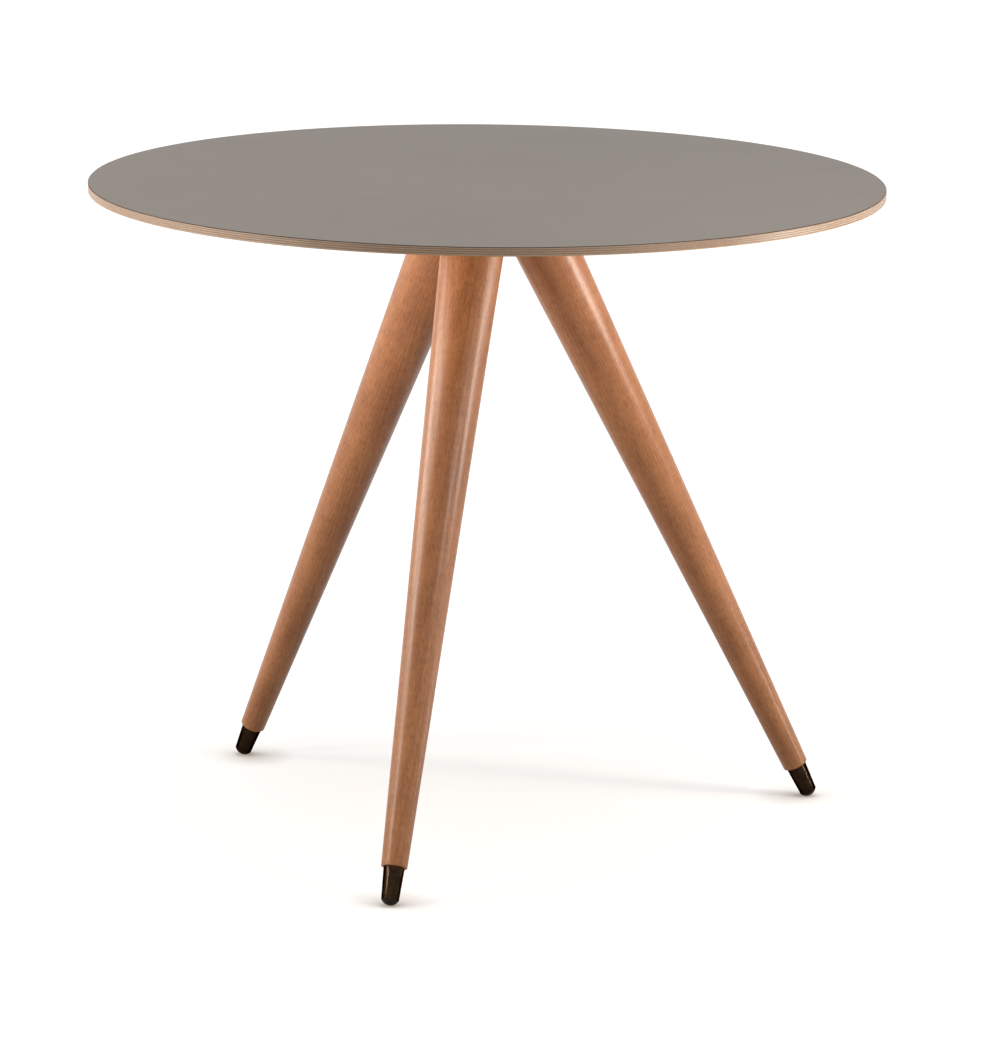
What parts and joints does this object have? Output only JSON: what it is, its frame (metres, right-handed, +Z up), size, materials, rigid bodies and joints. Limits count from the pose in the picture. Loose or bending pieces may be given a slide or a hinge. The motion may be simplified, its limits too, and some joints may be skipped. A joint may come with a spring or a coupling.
{
  "type": "round tea table",
  "caption": "Round tea table: a thin laminated plywood top on straight tapered beech legs that splay from a hub under its middle out to bronzed brass feet.",
  "frame": {"origin": "on the floor, under the middle of the round top", "axes": "+Z up through the middle of the top, -Y towards the front leg, +X to the right of someone facing the front leg"},
  "size_m": [0.8999, 0.9, 0.74],
  "materials": {
    "grey_laminate": "matt warm grey laminate with a dark core",
    "ply_long_grain": "pale beech veneer, clear lacquer",
    "ply_cross_grain": "darker end grain of a cross veneer, clear lacquer",
    "beech_veneer": "clear lacquered beech veneer",
    "hub_plywood": "clear lacquered beech plywood",
    "stained_beech": "brown stained beech, satin lacquer",
    "dowel_beech": "bare fluted beech",
    "bronzed_brass": "darkly bronzed brass, satin",
    "dark_nylon": "smooth dark brown nylon",
    "zinc_steel": "bright zinc plate"
  },
  "bodies": {
    "root": {"top_laminate": "grey_laminate", "core_ply_1": "ply_long_grain", "core_ply_2": "ply_cross_grain", "core_ply_3": "ply_long_grain", "core_ply_4": "ply_cross_grain", "core_ply_5": "ply_long_grain", "core_ply_6": "ply_cross_grain", "core_ply_7": "ply_long_grain", "backing_veneer": "beech_veneer", "hub_disc": "hub_plywood", "hub_screws": "zinc_steel", "leg_bolts": "zinc_steel", "bolt_washers": "zinc_steel", "leg_sleeves": "zinc_steel", "leg_dowels": "dowel_beech", "glide_nails": "zinc_steel", "leg_front": "stained_beech", "leg_right": "stained_beech", "leg_left": "stained_beech", "ferrule_front": "bronzed_brass", "ferrule_right": "bronzed_brass", "ferrule_left": "bronzed_brass", "glide_front": "dark_nylon", "glide_right": "dark_nylon", "glide_left": "dark_nylon"}
  },
  "joints": []
}
